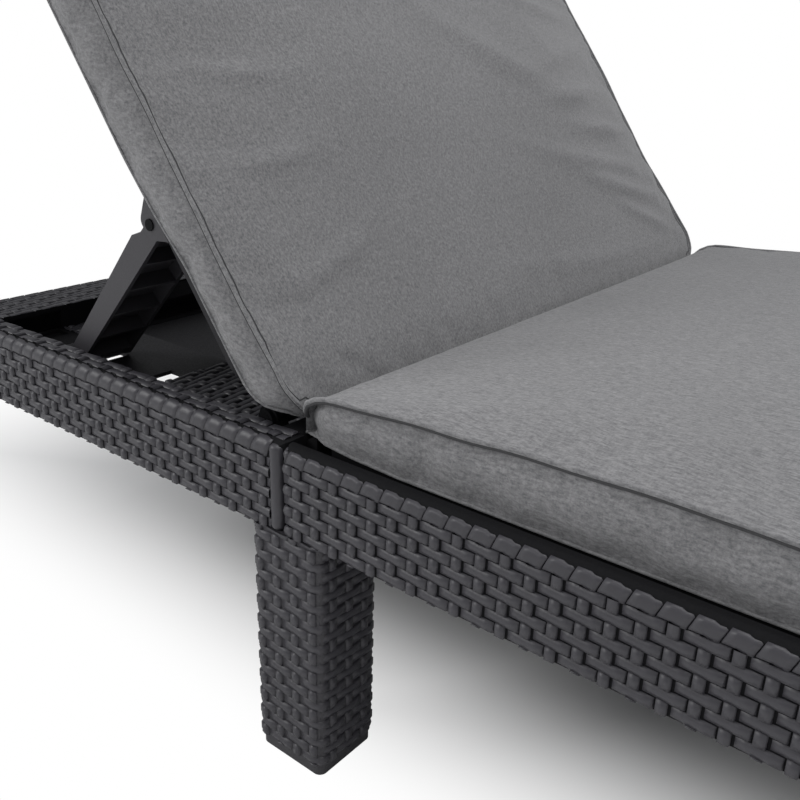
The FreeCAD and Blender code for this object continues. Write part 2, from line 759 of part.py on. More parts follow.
def make_cushions():
    """Seat and back sections of the mattress."""
    seat_end = front_length - seat_cushion_foot_inset
    stations = cushion_stations(seat_cushion_start, seat_cushion_start, seat_end, seat_crown_shares)
    seat = cushion(stations, seat_cushion_side, seat_cushion_crown, front_deck_top + contact_gap)
    save("seat_cushion", seat)

    stations = cushion_stations(hinge_x - back_cushion_back_start, hinge_x - back_cushion_front_start,
                                hinge_x - back_cushion_end, back_crown_shares)
    back = cushion(stations, back_cushion_side, back_cushion_crown, hinge_z + panel_half + contact_gap)
    save("back_cushion", raised(back))


def main():
    make_rails()
    make_legs()
    make_fasteners()
    make_seat_deck()
    make_rear_deck()
    make_hinge()
    make_back_panel()
    make_prop()
    make_cushions()
    for name, shape in made.items():
        piece = shape.copy()
        piece.translate(V(split_x, 0, 0))
        if not piece.isValid():
            print("not valid:", name)
        piece.exportStep("parts/%s.step" % name)
        print("%-24s solids %2d volume %11.0f" % (name, len(piece.Solids), piece.Volume))
    pivot = turned(prop_pivot_up, -prop_pivot_below, rest_angle)
    print("split at X %.4f" % split_x)
    print("hinge at X %.4f Z %.4f" % (hinge_x + split_x, hinge_z))
    print("prop pivot at X %.4f Z %.4f" % (pivot[0] + split_x, pivot[1]))
    print("rear deck top %.4f" % rear_deck_top)


main()
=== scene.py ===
# %% [markdown]
# # A sun lounger with a wicker-look frame and a thick grey mattress
# The imported model is the fixed frame of this scene: its rails, legs, decks, hinge and prop are shown as they
# are, and get finishes here, several of them darkened as painted shade. The moulded weave on their faces and
# the two sections of the mattress are new pieces. Everything is in metres, with +X towards the foot end, +Y to
# the sitter's left and +Z up.

# %% Load the frame
import bmesh
import bpy
import json
import math
import numpy as np
from mathutils import Matrix, Vector


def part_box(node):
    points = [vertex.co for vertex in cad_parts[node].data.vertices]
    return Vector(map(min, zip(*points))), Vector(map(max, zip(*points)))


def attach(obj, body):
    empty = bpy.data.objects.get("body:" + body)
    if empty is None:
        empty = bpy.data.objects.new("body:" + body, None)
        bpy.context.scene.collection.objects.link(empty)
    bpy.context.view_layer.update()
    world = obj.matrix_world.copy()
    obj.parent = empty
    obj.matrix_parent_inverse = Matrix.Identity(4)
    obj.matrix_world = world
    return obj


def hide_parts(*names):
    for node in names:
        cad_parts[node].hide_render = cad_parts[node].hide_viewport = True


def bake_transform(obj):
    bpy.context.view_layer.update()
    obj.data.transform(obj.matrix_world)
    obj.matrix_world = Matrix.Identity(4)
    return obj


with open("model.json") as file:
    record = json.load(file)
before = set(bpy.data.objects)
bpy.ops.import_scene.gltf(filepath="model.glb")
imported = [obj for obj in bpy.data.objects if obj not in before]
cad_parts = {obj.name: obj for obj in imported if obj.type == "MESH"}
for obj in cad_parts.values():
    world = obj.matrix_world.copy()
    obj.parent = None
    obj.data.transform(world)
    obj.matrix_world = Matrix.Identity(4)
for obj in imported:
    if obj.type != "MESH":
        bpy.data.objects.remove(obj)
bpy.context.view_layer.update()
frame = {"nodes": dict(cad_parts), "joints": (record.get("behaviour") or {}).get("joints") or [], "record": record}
nodes = frame["nodes"]
MM = 0.001

# %% [markdown]
# Sizes that several pieces share are read from the frame, so the dressing follows it. The two base modules
# meet at a split, just ahead of the backrest's hinge, and the weave of the rails starts anew on each side.

# %% Shared places
near_low, near_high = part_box("front_side_rail_right")
rear_low, rear_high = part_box("rear_side_rail_right")
deck_low, deck_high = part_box("rear_deck")
rail_top = near_high.z
rail_bottom = near_low.z
outer_y = -near_low.y
foot_x = near_high.x
front_x = near_low.x
rear_x = rear_high.x
head_x = rear_low.x
recline = next(j for j in frame["joints"] if j["name"] == "recline")
hinge = Vector(recline["pos_m"])
rest_angle = math.radians(53.0)
rail_top_width = 20.0 * MM
head_rail_width = 57.0 * MM
print("rail from z", round(rail_bottom, 4), "to", round(rail_top, 4), "split near x", round(front_x, 4))


# %% [markdown]
# ## Small helpers for modelling by hand
# An operator works on whatever is selected, so each new piece starts with nothing selected. Vertices are
# picked by their place, which is how a modeller would pick them in the viewport.

# %% Helpers for selecting and shaping
def deselect_all():
    bpy.ops.object.select_all(action="DESELECT")


def activate(obj):
    deselect_all()
    obj.hide_set(False)
    obj.select_set(True)
    bpy.context.view_layer.objects.active = obj


def pick_vertices(obj, test):
    """Selects the vertices whose place passes a test, and stays in edit mode."""
    activate(obj)
    bpy.ops.object.mode_set(mode="EDIT")
    bpy.ops.mesh.select_mode(type="VERT")
    bpy.ops.mesh.select_all(action="DESELECT")
    bpy.ops.object.mode_set(mode="OBJECT")
    for vertex in obj.data.vertices:
        vertex.select = bool(test(vertex.co))
    bpy.ops.object.mode_set(mode="EDIT")


def leave_edit():
    bpy.ops.object.mode_set(mode="OBJECT")


def add_modifier(obj, kind, **settings):
    activate(obj)
    modifier = obj.modifiers.new(kind.title(), kind)
    for key, value in settings.items():
        setattr(modifier, key, value)
    return modifier


def apply_modifier(obj, kind, **settings):
    modifier = add_modifier(obj, kind, **settings)
    bpy.ops.object.modifier_apply(modifier=modifier.name)


def get_points(obj):
    points = np.empty(len(obj.data.vertices) * 3)
    obj.data.vertices.foreach_get("co", points)
    return points.reshape(-1, 3)


def set_points(obj, points):
    obj.data.vertices.foreach_set("co", np.ascontiguousarray(points, dtype=float).ravel())
    obj.data.update()


def copy_piece(obj, name):
    new = obj.copy()
    new.data = obj.data.copy()
    new.name = name
    new.data.name = name
    bpy.context.scene.collection.objects.link(new)
    return new


def join_pieces(name, *parts):
    deselect_all()
    for part in parts:
        part.select_set(True)
    bpy.context.view_layer.objects.active = parts[0]
    bpy.ops.object.join()
    joined = bpy.context.view_layer.objects.active
    joined.name = name
    joined.data.name = name
    return joined


print("helpers ready")

# %% [markdown]
# ## Moulded plastic
# The frame is one graphite resin with a satin skin; parts that sit in shade get darker copies of it, which are
# painted shade. A fine pebbled grain breaks up its highlights, broad noise shifts its tone a little, and raised
# edges are rubbed slightly paler. These effects are shared by several materials, so each is a node group with
# named sockets.


# %% Shared shader groups
def new_group(name, inputs, outputs):
    group = bpy.data.node_groups.new(name, "ShaderNodeTree")
    for label, kind, default in inputs:
        socket = group.interface.new_socket(name=label, in_out="INPUT", socket_type=kind)
        socket.default_value = default
    for label, kind in outputs:
        group.interface.new_socket(name=label, in_out="OUTPUT", socket_type=kind)
    return group, group.nodes.new("NodeGroupInput"), group.nodes.new("NodeGroupOutput")


def link(tree, a, b):
    tree.links.new(a, b)


def noise(tree, vector, scale, detail=3.0, roughness=0.55):
    node = tree.nodes.new("ShaderNodeTexNoise")
    node.inputs["Scale"].default_value = scale
    node.inputs["Detail"].default_value = detail
    node.inputs["Roughness"].default_value = roughness
    link(tree, vector, node.inputs["Vector"])
    return node.outputs["Fac"]


def remap(tree, value, low, high, to_low, to_high, kind="LINEAR"):
    node = tree.nodes.new("ShaderNodeMapRange")
    node.interpolation_type = kind
    for label, number in (("From Min", low), ("From Max", high), ("To Min", to_low), ("To Max", to_high)):
        node.inputs[label].default_value = number
    link(tree, value, node.inputs["Value"])
    return node.outputs["Result"]


def vary(tree, value, low, high):
    """Spreads a noise, which mostly lies between 0.3 and 0.7, from low to high."""
    return remap(tree, value, 0.3, 0.7, low, high)


def math_node(tree, operation, a, b):
    node = tree.nodes.new("ShaderNodeMath")
    node.operation = operation
    for socket, value in zip(node.inputs, (a, b)):
        if isinstance(value, (int, float)):
            socket.default_value = value
        else:
            link(tree, value, socket)
    return node.outputs[0]


def mix_colour(tree, fac, a, b, blend="MIX"):
    node = tree.nodes.new("ShaderNodeMix")
    node.data_type = "RGBA"
    node.blend_type = blend
    for socket, value in ((node.inputs["Factor"], fac), (node.inputs["A"], a), (node.inputs["B"], b)):
        if isinstance(value, (int, float)):
            socket.default_value = value
        elif isinstance(value, tuple):
            socket.default_value = (*value, 1.0)
        else:
            link(tree, value, socket)
    return node.outputs["Result"]


tone_scale = 9.0
grain_scale = 900.0
grain_depth = 0.08 * MM


def make_resin_group():
    """Colour, roughness and height of a moulded resin skin."""
    group, start, end = new_group(
        "resin_skin",
        [("Base", "NodeSocketColor", (0.06, 0.06, 0.066, 1)),
         ("Worn", "NodeSocketColor", (0.1, 0.1, 0.11, 1)),
         ("Roughness", "NodeSocketFloat", 0.45)],
        [("Color", "NodeSocketColor"), ("Roughness", "NodeSocketFloat"), ("Height", "NodeSocketFloat")])
    where = group.nodes.new("ShaderNodeTexCoord").outputs["Object"]
    broad = vary(group, noise(group, where, tone_scale), 0.0, 0.55)
    tone = mix_colour(group, broad, start.outputs["Base"], start.outputs["Worn"])
    edge = group.nodes.new("ShaderNodeNewGeometry").outputs["Pointiness"]
    rubbed = remap(group, edge, 0.51, 0.58, 0.0, 0.5)
    link(group, mix_colour(group, rubbed, tone, start.outputs["Worn"]), end.inputs["Color"])
    fine = noise(group, where, grain_scale, 2.0)
    satin = math_node(group, "MULTIPLY", vary(group, fine, 0.88, 1.15), start.outputs["Roughness"])
    link(group, satin, end.inputs["Roughness"])
    link(group, fine, end.inputs["Height"])
    return group


resin_group = make_resin_group()
print("shader groups:", resin_group.name)


# %% Materials of the frame
def start_material(name):
    material = bpy.data.materials.new(name)
    material.use_nodes = True
    return material, material.node_tree, material.node_tree.nodes["Principled BSDF"]


def use_group(tree, group, **values):
    node = tree.nodes.new("ShaderNodeGroup")
    node.node_tree = group
    for label, value in values.items():
        node.inputs[label].default_value = value
    return node


def bump(tree, shader, height, distance, strength):
    node = tree.nodes.new("ShaderNodeBump")
    node.inputs["Distance"].default_value = distance
    node.inputs["Strength"].default_value = strength
    link(tree, height, node.inputs["Height"])
    link(tree, node.outputs["Normal"], shader.inputs["Normal"])


def make_resin(name, base, worn, roughness, shine=0.5):
    material, tree, shader = start_material(name)
    skin = use_group(tree, resin_group, Base=(*base, 1), Worn=(*worn, 1), Roughness=roughness)
    link(tree, skin.outputs["Color"], shader.inputs["Base Color"])
    link(tree, skin.outputs["Roughness"], shader.inputs["Roughness"])
    shader.inputs["Specular IOR Level"].default_value = shine
    bump(tree, shader, skin.outputs["Height"], grain_depth, 0.6)
    return material


mottle_scale = 400.0


def make_steel():
    """Zinc plated bolts and nuts, cool and slightly mottled."""
    material, tree, shader = start_material("zinc_steel")
    where = tree.nodes.new("ShaderNodeTexCoord").outputs["Object"]
    mottle = noise(tree, where, mottle_scale)
    link(tree, mix_colour(tree, mottle, (0.42, 0.43, 0.45), (0.6, 0.6, 0.6)), shader.inputs["Base Color"])
    link(tree, vary(tree, mottle, 0.3, 0.45), shader.inputs["Roughness"])
    shader.inputs["Metallic"].default_value = 1.0
    return material


woven_resin = make_resin("woven_resin", (0.028, 0.027, 0.032), (0.050, 0.048, 0.056), 0.45)
plain_resin = make_resin("plain_resin", (0.030, 0.029, 0.033), (0.042, 0.040, 0.046), 0.5)
# Painted shade: a nearly black resin for parts seen only in deep shade, and a dim one for the pan and panels.
painted_deep_shade_resin = make_resin("painted_deep_shade_resin", (0.006, 0.006, 0.007), (0.010, 0.010, 0.011), 0.7, 0.08)
painted_shade_resin = make_resin("painted_shade_resin", (0.012, 0.012, 0.014), (0.020, 0.019, 0.022), 0.6, 0.25)
zinc_steel = make_steel()
print("materials:", [m.name for m in bpy.data.materials])

# %% [markdown]
# The bare rails and decks show in the slits of the weave and in the shade beside the cushions, so they get a
# nearly black resin as painted shade. So do the pins and hinge brackets, which sit in deep shade, and the pan,
# panels and prop tracks get a dim resin as painted shade.

# %% A material for each node
for name, node in nodes.items():
    slot_name = next(s["material_slot"] for s in frame["record"]["subparts"] if s["node"] == name)
    # Painted shade: rails, decks, pins and hinges get the nearly black resin, the pan, panels and prop tracks the
    # dim one.
    in_shade = "rail" in name or "deck" in name
    inner = name in ("sunken_pan", "back_panel", "prop_cross_panel") or name.startswith("prop_track")
    pins_and_hinges_in_shade = name.startswith(("prop_pin", "hinge"))
    resin = painted_deep_shade_resin if in_shade or pins_and_hinges_in_shade else painted_shade_resin if inner else plain_resin
    steel = slot_name == "zinc_steel" and not pins_and_hinges_in_shade
    node.data.materials.clear()
    node.data.materials.append(zinc_steel if steel else resin)
print("materials on", len(nodes), "nodes")

# %% [markdown]
# ## The strands of the weave
# The real frame is moulded to look like flat wicker. Upright strands are narrow, level strands are broad, and
# each passes over and under the other in turn. Only the part of a strand that lies on top shows, so one short
# pillow stands for each crossing. A grid is enough for it: its middle is lifted and its rim is sunk below the
# surface it lies on, and shading does the rest.

# %% One pillow for each kind of strand
column_pitch = 14.6 * MM
row_pitch = 7.45 * MM
upright_width = 6.2 * MM
weave_height = 2.2 * MM
sink = 0.5 * MM
rim_share = 0.49
top_reach_x = 0.46
top_reach_y = 0.42
crown_reach_x = 0.4
crown_reach_y = 0.3


def pillow(name, length, breadth, cuts_along, cuts_across, height, crown):
    """A flat-topped pillow lying along X: steep at its rim, crowned a little in its middle."""
    deselect_all()
    bpy.ops.mesh.primitive_grid_add(x_subdivisions=cuts_along, y_subdivisions=cuts_across, size=1.0)
    piece = bpy.context.active_object
    piece.name = name
    piece.scale = (length, breadth, 1.0)
    bpy.ops.object.transform_apply(location=False, rotation=False, scale=True)
    pick_vertices(piece, lambda co: abs(co.x) < length * rim_share and abs(co.y) < breadth * rim_share)
    bpy.ops.transform.translate(value=(0, 0, height))
    spread_x = top_reach_x / (0.5 - 1.0 / cuts_along)
    spread_y = top_reach_y / (0.5 - 1.0 / cuts_across)
    bpy.ops.transform.resize(value=(spread_x, spread_y, 1.0), center_override=(0, 0, 0))
    leave_edit()
    half_x = length * crown_reach_x
    half_y = breadth * crown_reach_y
    pick_vertices(piece, lambda co: abs(co.x) < half_x and abs(co.y) < half_y)
    bpy.ops.transform.translate(value=(0, 0, crown))
    bpy.ops.mesh.select_all(action="SELECT")
    bpy.ops.transform.translate(value=(0, 0, -sink))
    leave_edit()
    return piece


row_slit = 0.6 * MM
end_slit = 1.2 * MM
strand_crown = weave_height * 0.3
strand_tilt = 0.09
level_strand = pillow("level_strand", 2 * column_pitch - upright_width - end_slit, row_pitch - row_slit, 6, 4,
                      weave_height * 0.7, strand_crown)
points = get_points(level_strand)
points[:, 2] += np.clip(points[:, 0], -0.7 * column_pitch, 0.5 * column_pitch) * strand_tilt
set_points(level_strand, points)
upright_strand = pillow("upright_strand", row_pitch * 1.16, upright_width, 4, 4, weave_height * 0.95,
                        strand_crown)
activate(upright_strand)
bpy.ops.transform.rotate(value=math.radians(90), orient_axis="Z", center_override=(0, 0, 0))
bpy.ops.object.transform_apply(location=False, rotation=True, scale=False)
print("strands:", [len(o.data.polygons) for o in (level_strand, upright_strand)], "faces each")


# %% [markdown]
# Two columns by two rows hold one full repeat of the weave: two level strands and two upright ones, in a
# chequer. Array modifiers repeat it into a flat sheet, which is then cut to length with bisect.

# %% A repeat of the weave, and flat sheets of it
def moved_copy(source, x, y):
    new = copy_piece(source, source.name)
    activate(new)
    bpy.ops.transform.translate(value=(x, y, 0))
    bpy.ops.object.transform_apply(location=True, rotation=False, scale=False)
    return new


repeat = join_pieces(
    "weave_repeat", moved_copy(level_strand, 0, 0), moved_copy(upright_strand, column_pitch, 0),
    moved_copy(upright_strand, 0, row_pitch), moved_copy(level_strand, column_pitch, row_pitch))
bpy.ops.object.transform_apply(location=True, rotation=True, scale=True)


def trim(piece, place, normal):
    """Cuts the sheet along a plane and drops what lies on the side that the normal points to."""
    activate(piece)
    bpy.ops.object.mode_set(mode="EDIT")
    bpy.ops.mesh.select_all(action="SELECT")
    bpy.ops.mesh.bisect(plane_co=place, plane_no=normal, clear_outer=True)
    leave_edit()


def flat_weave(name, length, height, first_column=0.0, first_row=0.0):
    """A flat sheet of weave from (0, 0) to (length, height); its first crossing may be shifted."""
    sheet = copy_piece(repeat, name)
    columns = math.ceil(length / column_pitch / 2) + 2
    rows = math.ceil(height / row_pitch / 2) + 2
    apply_modifier(sheet, "ARRAY", count=columns, use_relative_offset=False, use_constant_offset=True,
                   constant_offset_displace=(2 * column_pitch, 0, 0))
    apply_modifier(sheet, "ARRAY", count=rows, use_relative_offset=False, use_constant_offset=True,
                   constant_offset_displace=(0, 2 * row_pitch, 0))
    points = get_points(sheet)
    points[:, 0] += first_column % (2 * column_pitch) - 2 * column_pitch
    points[:, 1] += first_row % (2 * row_pitch) - 2 * row_pitch
    set_points(sheet, points)
    for place, normal in (((0, 0, 0), (-1, 0, 0)), ((length, 0, 0), (1, 0, 0)), ((0, 0, 0), (0, -1, 0)),
                          ((0, height, 0), (0, 1, 0))):
        trim(sheet, place, normal)
    return sheet


print("repeat has", len(repeat.data.polygons), "faces")


# %% [markdown]
# A flat sheet is laid on the frame by following two lines at once: the plan, which runs round the outside of
# a module or leg with its rounded corners, and the section, which climbs its face. Each point moves to its
# place on both lines and keeps its height above the surface, so the strands wrap round the corners.

# %% Wrapping a sheet round a plan and up a section
class Line:
    """A path with outward normals, measured by the distance along it."""

    def __init__(self, points, normals):
        self.points = np.array(points, float)
        self.normals = np.array(normals, float)
        steps = np.linalg.norm(np.diff(self.points, axis=0), axis=1)
        self.marks = np.concatenate([[0.0], np.cumsum(steps)])

    def length(self):
        return float(self.marks[-1])

    def at(self, distance):
        place = np.stack([np.interp(distance, self.marks, self.points[:, k]) for k in range(2)], 1)
        normal = np.stack([np.interp(distance, self.marks, self.normals[:, k]) for k in range(2)], 1)
        return place, normal / np.linalg.norm(normal, axis=1, keepdims=True)


arc_steps = 6


def rounded_line(corners, radii):
    """Path through corners, each rounded by an arc; the outside is on the path's right."""
    points = []
    normals = []
    corners = [np.array(c, float) for c in corners]
    for k, corner in enumerate(corners):
        before = corners[k - 1] if k else None
        after = corners[k + 1] if k + 1 < len(corners) else None
        if before is None or after is None:
            ahead = after - corner if before is None else corner - before
            ahead /= np.linalg.norm(ahead)
            points.append(corner)
            normals.append((ahead[1], -ahead[0]))
            continue
        a = (corner - before) / np.linalg.norm(corner - before)
        b = (after - corner) / np.linalg.norm(after - corner)
        side = 1.0 if a[0] * b[1] - a[1] * b[0] > 0 else -1.0
        turn = math.acos(np.clip(a @ b, -1, 1))
        radius = radii[k] if isinstance(radii, tuple) else radii
        reach = radius * math.tan(turn / 2)
        out_a = np.array((a[1], -a[0]))
        centre = corner - a * reach - out_a * radius * side
        for i in range(arc_steps + 1):
            angle = side * turn * i / arc_steps
            spin = np.array(((math.cos(angle), -math.sin(angle)), (math.sin(angle), math.cos(angle))))
            normal = spin @ out_a
            points.append(centre + normal * radius * side)
            normals.append(normal)
    return Line(points, normals)


def wrap(sheet, plan, section):
    """Lays a flat sheet on a plan (x, y) and a section (outward, z)."""
    points = get_points(sheet)
    place, outward = plan.at(points[:, 0])
    climb, lift = section.at(points[:, 1])
    out = climb[:, 0] + points[:, 2] * lift[:, 0]
    height = climb[:, 1] + points[:, 2] * lift[:, 1]
    set_points(sheet, np.column_stack([place + outward * out[:, None], height]))


def finish_weave(piece):
    """Smooth shading, material and body for a finished piece of weave."""
    activate(piece)
    bpy.ops.object.shade_smooth()
    piece.data.materials.clear()
    piece.data.materials.append(woven_resin)
    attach(piece, "base")
    print(piece.name, "has", len(piece.data.polygons), "faces")


print("wrapping tools ready")

# %% [markdown]
# ## Rails
# Each module has woven outer faces all round, with a border of slanted bricks rolled over the top edge, one
# to each column. The bricks of the front module are shorter, because its rail has a bare lip behind them.

# %% The border brick
corner_radius = 8.0 * MM
edge_radius = 6.0 * MM
edge_steps = 6
border_drop = 10.5 * MM
brick_overlap = 0.1 * MM
brick_dip = 1.0 * MM
brick_slant = 0.4
front_brick = 9.0 * MM
rear_brick = 13.0 * MM


def border_brick(length):
    """One brick of the border; its right half dips a little further than its left."""
    brick = pillow("border_brick", column_pitch + brick_overlap, length, 6, 6, weave_height * 0.75,
                   weave_height * 0.04)
    points = get_points(brick)
    points[:, 1] -= np.where(points[:, 0] > 0, brick_dip, 0)
    points[:, 0] += points[:, 1] * brick_slant
    set_points(brick, points)
    print("brick has", len(brick.data.polygons), "faces")
    return brick


print("border starts", round(border_drop / MM, 1), "mm below the top of the rail")


# %% Woven faces of the two modules
def face_line():
    """Section up the outer face and over the rounded top edge, as (outward, height)."""
    straight = rail_top - edge_radius
    points = [(0.0, rail_bottom), (0.0, straight)]
    normals = [(1.0, 0.0), (1.0, 0.0)]
    for i in range(1, edge_steps + 1):
        angle = math.radians(90 * i / edge_steps)
        points.append((edge_radius * (math.cos(angle) - 1), straight + edge_radius * math.sin(angle)))
        normals.append((math.cos(angle), math.sin(angle)))
    points.append((-edge_radius * 2.5, rail_top))
    normals.append((0.0, 1.0))
    return Line(points, normals)


def module_weave(name, corners, radii, brick_length):
    """Woven skin of one module: its outer faces and the border along their top edge."""
    plan = rounded_line(corners, radii)
    section = face_line()
    height = rail_top - rail_bottom - border_drop
    rows = round(height / row_pitch)
    columns = round(plan.length() / column_pitch / 2) * 2
    skin = flat_weave(name, columns * column_pitch, rows * row_pitch, column_pitch / 2, row_pitch / 2)
    points = get_points(skin)
    points[:, 0] *= plan.length() / (columns * column_pitch)
    points[:, 1] *= height / (rows * row_pitch)
    set_points(skin, points)
    border = border_brick(brick_length)
    apply_modifier(border, "ARRAY", count=columns, use_relative_offset=False, use_constant_offset=True,
                   constant_offset_displace=(plan.length() / columns, 0, 0))
    points = get_points(border)
    points[:, 0] += plan.length() / columns / 2
    points[:, 1] += height + brick_length / 2
    set_points(border, points)
    whole = join_pieces(name, skin, border)
    wrap(whole, plan, section)
    finish_weave(whole)


split_lap = 12.0 * MM
column_width = 9.8 * MM
front_corners = [(front_x, -outer_y + split_lap), (front_x, -outer_y), (foot_x, -outer_y), (foot_x, outer_y),
                 (front_x, outer_y), (front_x, outer_y - split_lap)]
rear_end = rear_x - column_width
rear_corners = [(rear_end, outer_y), (head_x, outer_y), (head_x, -outer_y), (rear_end, -outer_y)]
split_radius = 3.0 * MM
front_radii = (0, split_radius, corner_radius, corner_radius, split_radius, 0)
module_weave("front_weave", front_corners, front_radii, front_brick)
module_weave("rear_weave", rear_corners, corner_radius, rear_brick)

# %% Smooth columns of the rear module beside the split
column_radius = 4.8 * MM
column_bevel = 3.2 * MM
column_from_split = 6.4 * MM
column_inset = 3.0 * MM
column_top = rail_top - 1.5 * MM
for side, sign in (("right", -1), ("left", 1)):
    deselect_all()
    centre = (rear_x - column_from_split, sign * (outer_y - column_inset), (column_top + rail_bottom) / 2)
    bpy.ops.mesh.primitive_cylinder_add(vertices=32, radius=column_radius, depth=column_top - rail_bottom,
                                        location=centre)
    column = bpy.context.active_object
    column.name = "split_column_" + side
    bpy.ops.object.transform_apply(location=True, rotation=True, scale=True)
    apply_modifier(column, "BEVEL", width=column_bevel, segments=4, limit_method="ANGLE")
    finish_weave(column)


# %% [markdown]
# ## Legs
# The weave goes right round each leg. It stops above a plain rim at the floor, so only the body is woven.

# %% Woven legs
leg_radius = 6.0 * MM
leg_rim = 9.0 * MM


def leg_weave(name, node):
    low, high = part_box(node)
    a = (low.x, low.y)
    b = (high.x, low.y)
    c = (high.x, high.y)
    d = (low.x, high.y)
    middle = ((low.x + high.x) / 2, high.y)
    plan = rounded_line([middle, d, a, b, c, middle], leg_radius)
    section = Line([(0, leg_rim), (0, high.z)], [(1, 0), (1, 0)])
    count = round(plan.length() / column_pitch / 2) * 2
    skin = flat_weave(name, count * column_pitch, high.z - leg_rim, column_pitch / 2, row_pitch / 2)
    points = get_points(skin)
    points[:, 0] *= plan.length() / (count * column_pitch)
    set_points(skin, points)
    wrap(skin, plan, section)
    finish_weave(skin)


for side in ("right", "left"):
    for place in ("foot", "middle"):
        leg_weave(place + "_leg_weave_" + side, place + "_leg_" + side)


# %% [markdown]
# ## Woven deck and rail tops
# The deck by the split, the corners by the head and the rear rail tops are woven as well. They are level, so
# a flat sheet only needs turning to its place. Each is pressed flatter than the faces, so that the back and
# the prop pass over it: the lift is the share of the strands' height that is left. A corner deck has a strip
# on each side of the prop's foot.

# %% Level sheets of weave
deck_lift = 0.8
side_lift = 0.7
head_lift = 0.4


def cross_sheet(name, x0, x1, y0, y1, z, lift):
    """A level sheet whose broad strands run across the lounger."""
    sheet = flat_weave(name, y1 - y0, x1 - x0, column_pitch / 2, row_pitch / 2)
    points = get_points(sheet)
    set_points(sheet, np.column_stack([x1 - points[:, 1], y0 + points[:, 0], z + points[:, 2] * lift]))
    finish_weave(sheet)


def long_sheet(name, x0, x1, y0, y1, z, lift):
    """A level sheet whose broad strands run along the lounger."""
    sheet = flat_weave(name, x1 - x0, y1 - y0, column_pitch / 2, row_pitch / 2)
    points = get_points(sheet)
    set_points(sheet, np.column_stack([x0 + points[:, 0], y0 + points[:, 1], z + points[:, 2] * lift]))
    finish_weave(sheet)


foot_room = 2.0 * MM
cross_sheet("rear_deck_weave", deck_low.x, deck_high.x, deck_low.y, deck_high.y, deck_high.z, deck_lift)
for side in ("right", "left"):
    low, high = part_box("corner_deck_" + side)
    foot_low, foot_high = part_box("prop_leg_" + side)
    strips = (("_right_part_", low.y, foot_low.y - foot_room),
              ("_left_part_", foot_high.y + foot_room, high.y))
    for place, y0, y1 in strips:
        cross_sheet("corner_deck_weave" + place + side, low.x, high.x, y0, y1, high.z, deck_lift)
border_reach = 6.0 * MM
top_end = rear_x - 4.0 * MM
for side, sign in (("right", -1), ("left", 1)):
    y0, y1 = sorted((sign * (-rear_low.y - rail_top_width), sign * (outer_y - border_reach)))
    long_sheet("rear_top_weave_" + side, head_x + head_rail_width, top_end, y0, y1, rail_top, side_lift)
cross_sheet("head_top_weave", head_x + border_reach, head_x + head_rail_width, -outer_y + border_reach,
            outer_y - border_reach, rail_top, head_lift)

# %% [markdown]
# ## Fabric
# The cover is a heathered outdoor cloth: short flecks of paler and darker yarn run both ways across it. They
# come from two stretched noises, and the same noises lift its surface a little.

# %% Cushion fabric
flecks_along = (190.0, 800.0, 500.0)
flecks_across = (800.0, 330.0, 500.0)
patch_scale = 6.0
nap_depth = 0.4 * MM


def yarn(tree, where, scales, weight):
    """Noise stretched the way that one set of yarns runs, times its weight."""
    stretch = tree.nodes.new("ShaderNodeMapping")
    stretch.inputs["Scale"].default_value = scales
    link(tree, where, stretch.inputs["Vector"])
    return math_node(tree, "MULTIPLY", noise(tree, stretch.outputs["Vector"], 1.0, 3.0, 0.75), weight)


def make_fabric():
    """Heathered grey cloth with a faint nap."""
    material, tree, shader = start_material("cushion_fabric")
    where = tree.nodes.new("ShaderNodeTexCoord").outputs["Object"]
    heather = math_node(tree, "ADD", yarn(tree, where, flecks_along, 1.35),
                        yarn(tree, where, flecks_across, 0.65))
    fleck = remap(tree, heather, 0.75, 1.25, 0.0, 1.0)
    colour = mix_colour(tree, fleck, (0.108, 0.108, 0.113), (0.246, 0.244, 0.248))
    broad = vary(tree, noise(tree, where, patch_scale), 0.93, 1.05)
    tinted = mix_colour(tree, 1.0, colour, broad, "MULTIPLY")
    link(tree, tinted, shader.inputs["Base Color"])
    shader.inputs["Roughness"].default_value = 0.9
    shader.inputs["Sheen Weight"].default_value = 0.25
    shader.inputs["Sheen Roughness"].default_value = 0.5
    bump(tree, shader, heather, nap_depth, 0.5)
    return material


cushion_fabric = make_fabric()
# One black thread makes the back's real stitches and the painted shadow cord under each upper welt.
stitch_and_shade_thread, _, shader = start_material("stitch_and_shade_thread")
shader.inputs["Base Color"].default_value = (0.05, 0.05, 0.052, 1.0)
shader.inputs["Roughness"].default_value = 0.9
print("fabric ready")


# %% [markdown]
# ## Mattress
# The mattress is one cover in two stuffed sections that meet in a fold above the split. Both sections start
# as the same kind of box: a level grid pulled up in a few rows, so that its seams run along whole rows of
# vertices. Each vertex is known by three shares, from 0 to 1 along, -1 to 1 across and 0 to 1 up, and takes
# its place from the lines of the upper and lower seam. Those lines run together at the fold, which pinches
# the corners there. The box's edges are sorted, so that the cloth below swells the same on each run.


# %% A box of even rows
def settle_order(piece):
    """Sorts edges and faces by their vertices, since extrude leaves them in an order that varies."""
    mesh = bmesh.new()
    mesh.from_mesh(piece.data)
    count = 4 * len(mesh.verts)
    for elements in (mesh.edges, mesh.faces):
        elements.sort(key=lambda e: min(v.index for v in e.verts) * count + sum(v.index for v in e.verts))
    mesh.to_mesh(piece.data)
    mesh.free()


